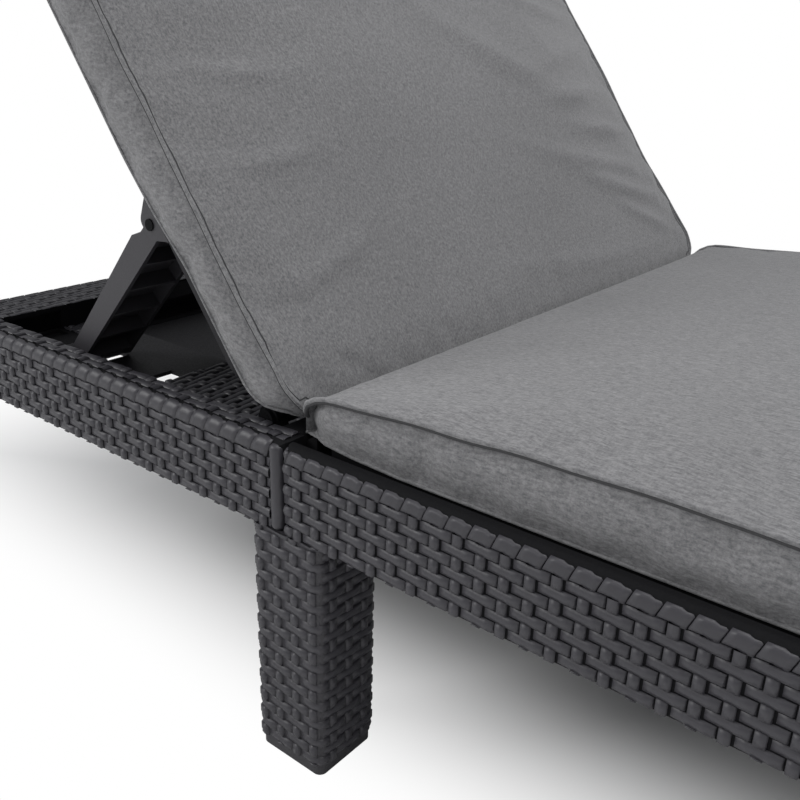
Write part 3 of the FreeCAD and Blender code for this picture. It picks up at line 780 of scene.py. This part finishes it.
def unit_box(name, along, across, rows):
    """Closed box over x 0..1, y -1..1 and z 0..1, with even faces."""
    deselect_all()
    bpy.ops.mesh.primitive_grid_add(x_subdivisions=along, y_subdivisions=across, size=1.0,
                                    location=(0.5, 0, 0))
    pad = bpy.context.active_object
    pad.name = name
    pad.scale = (1.0, 2.0, 1.0)
    bpy.ops.object.transform_apply(location=True, rotation=True, scale=True)
    bpy.ops.object.mode_set(mode="EDIT")
    bpy.ops.mesh.select_all(action="SELECT")
    for _ in range(rows):
        bpy.ops.mesh.extrude_region_move(TRANSFORM_OT_translate={"value": (0, 0, 1.0 / rows)})
    bpy.ops.mesh.select_all(action="SELECT")
    bpy.ops.mesh.normals_make_consistent(inside=False)
    leave_edit()
    settle_order(pad)
    return pad


slow_wave = 29 * MM
quick_wave = 11.3 * MM
calm_wave = 83 * MM


def wander(distance, phase):
    """The small, uneven drift of a hand-sewn seam, from -1 to 1."""
    slow = np.sin(distance / slow_wave + phase)
    quick = np.sin(distance / quick_wave + 2.3 * phase) * np.sin(distance / calm_wave + phase)
    return 0.6 * slow + 0.4 * quick


def round_corners(x, y, length, half, reaches):
    """Turns the square corners of a plan into arcs; one reach for each end."""
    for end, reach in zip((0.0, length), reaches):
        a = np.clip((np.abs(y) - half + reach) / reach, 0, 1)
        b = np.clip((reach - np.abs(x - end)) / reach, 0, 1)
        ratio = np.maximum(a, b) / np.maximum(np.hypot(a, b), 1e-9)
        inside = (a > 0) & (b > 0)
        y = np.where(inside, np.sign(y) * (half - reach + a * ratio * reach), y)
        x = np.where(inside, end + math.copysign(1, length / 2 - end) * (1 - b * ratio) * reach, x)
    return x, y


def ease(distance, reach):
    """Climbs smoothly from 0 at the fold to 1 at the reach."""
    share = np.clip(distance / reach, 0, 1)
    return share * share * (3 - 2 * share)


full = 0.999
fold_bend = 0.35
swell_reach = 260 * MM


def on_outline(unit):
    """Says which vertices of a unit box lie on its outline as seen from above."""
    return (np.abs(unit[:, 1]) > full) | (unit[:, 0] < 1 - full) | (unit[:, 0] > full)


def drag_lines(x, y, folds):
    """Height of soft drag lines; each has a middle, an angle, a half length, a width and a height."""
    height = np.zeros(len(x))
    for middle_x, middle_y, angle, reach, breadth, lift in folds:
        turn = math.radians(angle)
        from_x = x - middle_x * MM
        from_y = y - middle_y * MM
        along = (from_y * math.cos(turn) + from_x * math.sin(turn)) / (reach * MM)
        beside = (from_x * math.cos(turn) - from_y * math.sin(turn)) / (breadth * MM)
        beside -= fold_bend * along ** 2
        height += lift * MM * np.exp(-along ** 2 - beside ** 2)
    return height


print("unit box ready")

# %% [markdown]
# The side band bulges and puckers between its seams. The upper seam wanders a little, the top dips just
# inside it and puckers fade inwards from it. The band can be notched at the fold, where the sections pinch.

# %% Drawing a pad on its unit box
tuck = 2.4 * MM
levels = (0, 0.2, 0.4, 0.6, 0.8, 1)
level_heights = (0, 0.08, 0.36, 0.66, 0.9, 1)
level_bulges = (0, -1.0 * MM, 1.0 * MM, 1.0 * MM, -2.4 * MM, 0)
band_level = 0.9
edge_power = 30
crown_power = 3
crown_end_reach = 90 * MM
seam_drift = 1.2 * MM
pucker_rate = 4.5
pucker_height = 1.1 * MM
pucker_reach = 13 * MM
band_pucker = 0.9 * MM
dip_depth = 0.8 * MM
dip_reach = 9 * MM
notch_end = 18 * MM
notch_slope = 5 * MM


def draw_pad(unit, length, half, lines, crown, reaches, notch, folds):
    """Places for the vertices of a boxed pad, from its seam lines, its crown and its drag lines."""
    share, across, up = unit.T
    ring = np.abs(across)[np.abs(across) < full].max()
    across = np.sign(across) * np.interp(np.abs(across), (0, ring, 1), (0, 1 - tuck / half, 1))
    x, y = round_corners(share * length, across * half, length, half, reaches)
    inward = np.minimum(half - np.abs(y), length - x)
    edge = np.abs(across) ** edge_power
    rim = np.abs(across) > full
    far = share > full
    top_face = up > full
    band = (up > 1 - full) & ~top_face
    phase = 1.0 + np.sign(across)
    pucker = wander(pucker_rate * x, phase + 3.0) * np.exp(-inward / pucker_reach) * pucker_height
    dip = dip_depth * np.exp(-(inward / dip_reach) ** 2)
    top = np.interp(x, *lines["top"]) + seam_drift * wander(x, phase) * rim
    top += np.where(rim | far, 0, pucker - dip)
    top += np.where(rim | far | (x < 1 * MM), 0, drag_lines(x, y, folds))
    low = np.interp(x, *lines["low"]) * edge + np.interp(x, *lines["rest"]) * (1 - edge)
    swell = (1 - np.abs(across) ** crown_power) * ease(x, swell_reach) * ease(length - x, crown_end_reach)
    z = low + (top - low) * np.interp(up, levels, level_heights) + crown * swell * top_face
    bulge = np.interp(up, levels, level_bulges) + band_pucker * wander(pucker_rate * x, phase + 2.0) * band
    bulge -= notch * np.clip((notch_end - x) / notch_slope, 0, 1) * (up < band_level)
    return np.column_stack([x + bulge * far, y + np.sign(across) * bulge * rim, z])


print("pad tools ready")


# %% [markdown]
# The cloth simulation does the rest. The bottom, both seams and the fold are held, the cover is a little
# larger than its seams allow and air presses it outwards, so it swells between the seams and puckers beside
# them.

# %% Puffing up a pad as cloth
cloth_frames = 20
least_move = 0.12


def puff(pad, unit, grow, pressure, cap):
    """Swells the cover as cloth, with its seams and its bottom held and every move capped."""
    held = pad.vertex_groups.new(name="held")
    fixed = (unit[:, 2] < 1 - full) | (on_outline(unit) & (unit[:, 2] > full)) | (unit[:, 0] < 1 - full)
    held.add([int(i) for i in np.nonzero(fixed)[0]], 1.0, "REPLACE")
    before = get_points(pad)
    cloth = add_modifier(pad, "CLOTH")
    settings = cloth.settings
    settings.vertex_group_mass = "held"
    settings.quality = 6
    settings.mass = 0.3
    settings.tension_stiffness = 20
    settings.compression_stiffness = 8
    settings.shear_stiffness = 8
    settings.bending_stiffness = 1.5
    settings.shrink_min = -grow
    settings.use_pressure = True
    settings.uniform_pressure_force = pressure
    settings.effector_weights.gravity = 0
    cloth.collision_settings.use_collision = False
    cloth.point_cache.frame_end = cloth_frames
    for step in range(1, cloth_frames + 1):
        bpy.context.scene.frame_set(step)
    activate(pad)
    bpy.ops.object.modifier_apply(modifier=cloth.name)
    bpy.context.scene.frame_set(1)
    move = get_points(pad) - before
    length = np.linalg.norm(move, axis=1, keepdims=True)
    allowed = cap * (least_move + (1 - least_move) * ease(before[:, :1], swell_reach))
    set_points(pad, before + move * np.minimum(1.0, allowed / np.maximum(length, 1e-9)))
    print(pad.name, "swelled by up to", round(float(length.max()) / MM, 1), "mm")


print("cloth runs for", cloth_frames, "frames")

# %% [markdown]
# Welts and threads are cords rolled round a loop of the pad's own vertices, so they lie on its seams after
# the simulation too.

# %% Seams, welts and threads
def seam_loop(pad, unit, level, ring=0):
    """Vertices of a seam, or of the ring inside it, in order round the pad."""
    small = 1 - full
    aside = np.abs(unit[:, 1])
    across = np.unique(aside)[-1 - ring]
    near, far = np.unique(unit[:, 0])[[ring, -1 - ring]]
    inside = (aside < across + small) & (unit[:, 0] > near - small) & (unit[:, 0] < far + small)
    rim = (aside > across - small) | (unit[:, 0] < near + small) | (unit[:, 0] > far - small)
    chosen = np.nonzero(rim & inside & (np.abs(unit[:, 2] - level) < small))[0]
    turn = np.arctan2(unit[chosen, 1], 2 * unit[chosen, 0] - 1)
    return get_points(pad)[chosen[np.argsort(turn)]]


def crease_seams(pad, unit):
    """Keeps both seams sharp when the pad is subdivided."""
    seam = on_outline(unit) & ((unit[:, 2] < 1 - full) | (unit[:, 2] > full))
    activate(pad)
    pad.data.vertices.foreach_set("select", seam)
    bpy.ops.object.mode_set(mode="EDIT")
    bpy.ops.mesh.select_mode(type="EDGE")
    bpy.ops.mesh.select_mode(type="VERT")
    bpy.ops.transform.edge_crease(value=1.0)
    leave_edit()


welt_sides = 8


def welt(name, path, radius, outward):
    """A closed cord of fabric along a seam, from a grid rolled round the path."""
    deselect_all()
    bpy.ops.mesh.primitive_grid_add(x_subdivisions=len(path), y_subdivisions=welt_sides, size=1.0)
    cord = bpy.context.active_object
    cord.name = name
    flat = get_points(cord)
    index = np.rint((flat[:, 0] + 0.5) * len(path)).astype(int) % len(path)
    angle = (flat[:, 1] + 0.5) * math.tau
    ahead = np.roll(path, -1, 0) - np.roll(path, 1, 0)
    ahead /= np.linalg.norm(ahead, axis=1, keepdims=True)
    up = np.array((0.0, 0.0, 1.0)) - ahead * ahead[:, 2:3]
    up /= np.linalg.norm(up, axis=1, keepdims=True)
    side = np.cross(ahead, up)
    centre = path + side * outward
    round_it = np.cos(angle)[:, None] * side[index] + np.sin(angle)[:, None] * up[index]
    set_points(cord, centre[index] + radius * round_it)
    activate(cord)
    bpy.ops.object.mode_set(mode="EDIT")
    bpy.ops.mesh.select_all(action="SELECT")
    bpy.ops.mesh.remove_doubles(threshold=0.05 * MM)
    bpy.ops.mesh.normals_make_consistent(inside=False)
    leave_edit()
    return cord


print("welts have", welt_sides, "sides")

# %% [markdown]
# The seat section rides on the base. The back section is laid on the backrest at its resting angle and
# stays fixed there.


def finish_soft(piece, matrix, body, material):
    """Moves a pad, welt or thread to its place, smooths it and says what it is."""
    piece.data.transform(matrix)
    activate(piece)
    bpy.ops.object.shade_smooth()
    piece.data.materials.clear()
    piece.data.materials.append(material)
    if body == "base":
        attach(piece, body)
    else:
        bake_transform(piece)
    print(piece.name, "has", len(piece.data.polygons), "faces")


shadow_cord_drop = 2.0 * MM
shadow_cord_outward = -0.3 * MM
stitch_radius = 0.45 * MM
stitch_sink = 3 * MM


def make_pad(name, node, body, matrix, length, half, cell, lines, crown, reaches, notch, folds, swell, welts,
             shadow_cord_radius, stitched):
    """One section of the mattress: its box, its swell, its welts and a black cord of painted shadow under the
    upper welt.
    """
    pad = unit_box(name, round(length / cell), round(2 * half / cell), len(levels) - 1)
    unit = get_points(pad)
    set_points(pad, draw_pad(unit, length, half, lines, crown, reaches, notch, folds))
    puff(pad, unit, *swell)
    for label, level, radius, outward in welts:
        cord = welt(name + "_" + label, seam_loop(pad, unit, level), radius, outward)
        finish_soft(cord, matrix, body, cushion_fabric)
    # Painted shadow: a black cord just under the upper welt stands in for the shade in the recess below it.
    below = np.array((0, 0, shadow_cord_drop))
    threads = [("painted_seam_shadow", seam_loop(pad, unit, 1.0) - below, shadow_cord_radius, shadow_cord_outward)]
    if stitched:
        stitch_path = seam_loop(pad, unit, 1.0, 1)
        stitch_path[:, 2] -= stitch_sink * (stitch_path[:, 0] < 1.5 * cell)
        threads.append(("stitches", stitch_path, stitch_radius, 0.0))
    for label, path, radius, outward in threads:
        thread = welt(name + "_" + label, path, radius, outward)
        finish_soft(thread, matrix, body, stitch_and_shade_thread)
    crease_seams(pad, unit)
    apply_modifier(pad, "SUBSURF", levels=1, render_levels=1)
    finish_soft(pad, matrix, body, cushion_fabric)
    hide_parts(node)


def seam_line(*pairs):
    """A seam line from (distance along, height) pairs in millimetres."""
    along, height = zip(*pairs)
    return np.array(along) * MM, np.array(height) * MM


# %% Seat section
seat_low, seat_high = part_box("seat_cushion")
pad_half = (seat_high.y - seat_low.y) / 2
nose = 18 * MM
seat_lines = {
    "top": seam_line((0, 11), (1.5, 15), (4.5, 21.4), (9.6, 26.6), (15.4, 29.5), (25, 32), (37, 33),
                     (52, 34), (81, 36.2), (108, 38), (145, 40), (200, 40.5)),
    "low": seam_line((0, 4), (21, 4), (45, 1.5), (80, 0)),
    "rest": seam_line((0, 4), (21, 3), (40, 0))}
seat_folds = [(70, 40, 4, 130, 12, 0.9), (120, -130, -8, 90, 14, 1.1), (170, 90, 10, 120, 18, 1.0),
              (90, -220, 12, 60, 10, 1.0), (260, -60, -6, 140, 24, 1.2), (55, 200, -6, 80, 9, 0.8)]
make_pad("seat_pad", "seat_cushion", "base", Matrix.Translation((seat_low.x - nose, 0, seat_low.z)),
         length=seat_high.x - seat_low.x + nose, half=pad_half, cell=8 * MM, lines=seat_lines, crown=3 * MM,
         reaches=(14 * MM, 30 * MM), notch=8 * MM, folds=seat_folds, swell=(0.004, 2.0, 9 * MM),
         welts=[("top_welt", 1.0, 1.6 * MM, 0.3 * MM), ("low_welt", 0.0, 1.0 * MM, 0.0)],
         shadow_cord_radius=1.5 * MM, stitched=False)

# %% Back section
back_start = 14 * MM
back_end = 650.5 * MM
panel_face = 7.3 * MM
back_extra = 3.5 * MM
back_lines = {
    "top": seam_line((0, 29.5), (7, 30.7), (15, 33.4), (33, 35.7), (48, 35.4), (90, 34.5), (150, 34),
                     (236, 36), (300, 37), (400, 37)),
    "low": seam_line((0, 27.5), (4.6, 23.9), (11, 17.9), (19, 10.2), (28, 5.5), (37, 3), (120, 2.5),
                     (165, -3), (205, -5), (240, -4.5), (400, -3)),
    "rest": seam_line((0, 26), (5, 20), (10, 13), (17, 6.5), (34, 0))}
back_folds = [(95, -215, 16, 75, 9, 5.4), (125, -190, 10, 95, 9, 4.8), (160, -225, 4, 60, 8, 4.8),
              (200, -205, -6, 75, 9, 4.5), (60, -235, 24, 50, 7, 3.6), (245, -215, -14, 80, 10, 3.9),
              (235, -80, 24, 100, 15, 3.6), (40, -60, 5, 100, 8, 1.8), (320, 40, -16, 120, 18, 3.0),
              (90, 225, -16, 45, 7, 3.3), (165, 240, -4, 35, 7, 3.0), (230, 235, 8, 40, 7, 3.0),
              (300, -190, 8, 70, 10, 3.6), (360, 150, 12, 90, 14, 3.0)]
upward = Matrix.Translation(hinge) @ Matrix.Rotation(rest_angle, 4, "Y")
lay = Matrix.Translation((back_start, 0, panel_face)) @ Matrix.Diagonal((-1, -1, 1, 1))
make_pad("back_pad", "back_cushion", "backrest", upward @ lay,
         length=back_start + back_end, half=pad_half + back_extra, cell=6.5 * MM, lines=back_lines,
         crown=9 * MM, reaches=(30 * MM, 34 * MM), notch=0.0, folds=back_folds, swell=(0.004, 2.5, 12 * MM),
         welts=[("front_welt", 1.0, 1.2 * MM, 0.2 * MM), ("rear_welt", 0.0, 1.0 * MM, 0.0)],
         shadow_cord_radius=0.9 * MM, stitched=True)

# %% [markdown]
# ## Tools put away
# The two strands and the repeat were only patterns for the sheets, so they leave the scene.

# %% Remove the patterns
for pattern in (level_strand, upright_strand, repeat):
    bpy.data.objects.remove(pattern)

# %% [markdown]
# ## Floor, light and camera
# The photograph is a studio picture on white. A pale floor takes a soft grey shadow, and large lamps light
# the lounger evenly from above and from the camera's left. For the camera alone, the floor turns to plain
# white away from the lounger and the backdrop is white. That change follows a box round the lounger's
# footprint, so the soft edge of the grey under it is painted shadow. The camera stands low by the middle legs
# and looks towards the head end, which crops the foot of the lounger.

# %% Floor and world
deselect_all()
bpy.ops.mesh.primitive_plane_add(size=40.0, location=(0, 0, 0))
floor = bpy.context.active_object
floor.name = "floor"
floor_paint, tree, shader = start_material("floor_paint")
shader.inputs["Base Color"].default_value = (0.86, 0.86, 0.86, 1)
shader.inputs["Roughness"].default_value = 0.9
glow = tree.nodes.new("ShaderNodeEmission")
glow.inputs["Color"].default_value = (1, 1, 1, 1)
mixer = tree.nodes.new("ShaderNodeMixShader")
path = tree.nodes.new("ShaderNodeLightPath")
spread = tree.nodes.new("ShaderNodeSeparateXYZ")
link(tree, tree.nodes.new("ShaderNodeTexCoord").outputs["Object"], spread.inputs[0])
# Painted shadow: the lit floor shows near the lounger and turns to white glow over a box round its footprint.
shadow_edge_parts = []
for axis, near, far in (("X", 0.85, 1.25), ("Y", 0.11, 0.33)):
    away = math_node(tree, "ABSOLUTE", spread.outputs[axis], 0.0)
    shadow_edge_parts.append(remap(tree, away, near, far, 0.0, 1.0, "SMOOTHSTEP"))
painted_shadow_edge = math_node(tree, "MAXIMUM", *shadow_edge_parts)
link(tree, math_node(tree, "MULTIPLY", path.outputs["Is Camera Ray"], painted_shadow_edge), mixer.inputs[0])
link(tree, shader.outputs[0], mixer.inputs[1])
link(tree, glow.outputs[0], mixer.inputs[2])
link(tree, mixer.outputs[0], tree.nodes["Material Output"].inputs["Surface"])
floor.data.materials.append(floor_paint)

world = bpy.data.worlds.new("studio")
bpy.context.scene.world = world
world.use_nodes = True
tree = world.node_tree
background = tree.nodes["Background"]
background.inputs["Color"].default_value = (0.75, 0.76, 0.78, 1)
background.inputs["Strength"].default_value = 0.46
white = tree.nodes.new("ShaderNodeBackground")
white.inputs["Color"].default_value = (1, 1, 1, 1)
mixer = tree.nodes.new("ShaderNodeMixShader")
path = tree.nodes.new("ShaderNodeLightPath")
link(tree, path.outputs["Is Camera Ray"], mixer.inputs[0])
link(tree, background.outputs[0], mixer.inputs[1])
link(tree, white.outputs[0], mixer.inputs[2])
link(tree, mixer.outputs[0], tree.nodes["World Output"].inputs["Surface"])
print("floor and world ready")


# %% Lamps
def area_lamp(name, place, target, size, power):
    data = bpy.data.lights.new(name, "AREA")
    data.shape = "DISK"
    data.size = size
    data.energy = power
    lamp = bpy.data.objects.new(name, data)
    bpy.context.scene.collection.objects.link(lamp)
    lamp.location = place
    lamp.rotation_euler = (Vector(target) - Vector(place)).to_track_quat("-Z", "Y").to_euler()


area_lamp("overhead_lamp", (0.4, 0.1, 3.1), target=(0, 0, 0), size=3.0, power=66)
area_lamp("left_lamp", (-2.6, -2.2, 1.8), target=(-0.4, 0, 0.3), size=1.6, power=42)
area_lamp("front_lamp", (2.4, -2.0, 2.6), target=(-0.3, 0, 0.5), size=2.0, power=10)
print("lamps:", len(bpy.data.lights))

# %% Camera
camera_place = Vector((-0.05275, -0.66188, 0.45921))
camera_turn = math.radians(38.33)
camera_tilt = math.radians(21.54)
camera_roll = math.radians(1.56)
frame_px = 800.0
focal_px = 900.0
data = bpy.data.cameras.new("camera")
data.sensor_width = 36.0
data.lens = focal_px / frame_px * data.sensor_width
camera = bpy.data.objects.new("camera", data)
bpy.context.scene.collection.objects.link(camera)
turn = (Matrix.Rotation(camera_turn, 4, "Z") @ Matrix.Rotation(math.pi / 2 - camera_tilt, 4, "X")
        @ Matrix.Rotation(camera_roll, 4, "Z"))
camera.matrix_world = Matrix.Translation(camera_place) @ turn
bpy.context.scene.camera = camera
bpy.context.scene.view_settings.view_transform = "Standard"
print("lens", round(data.lens, 2), "mm")
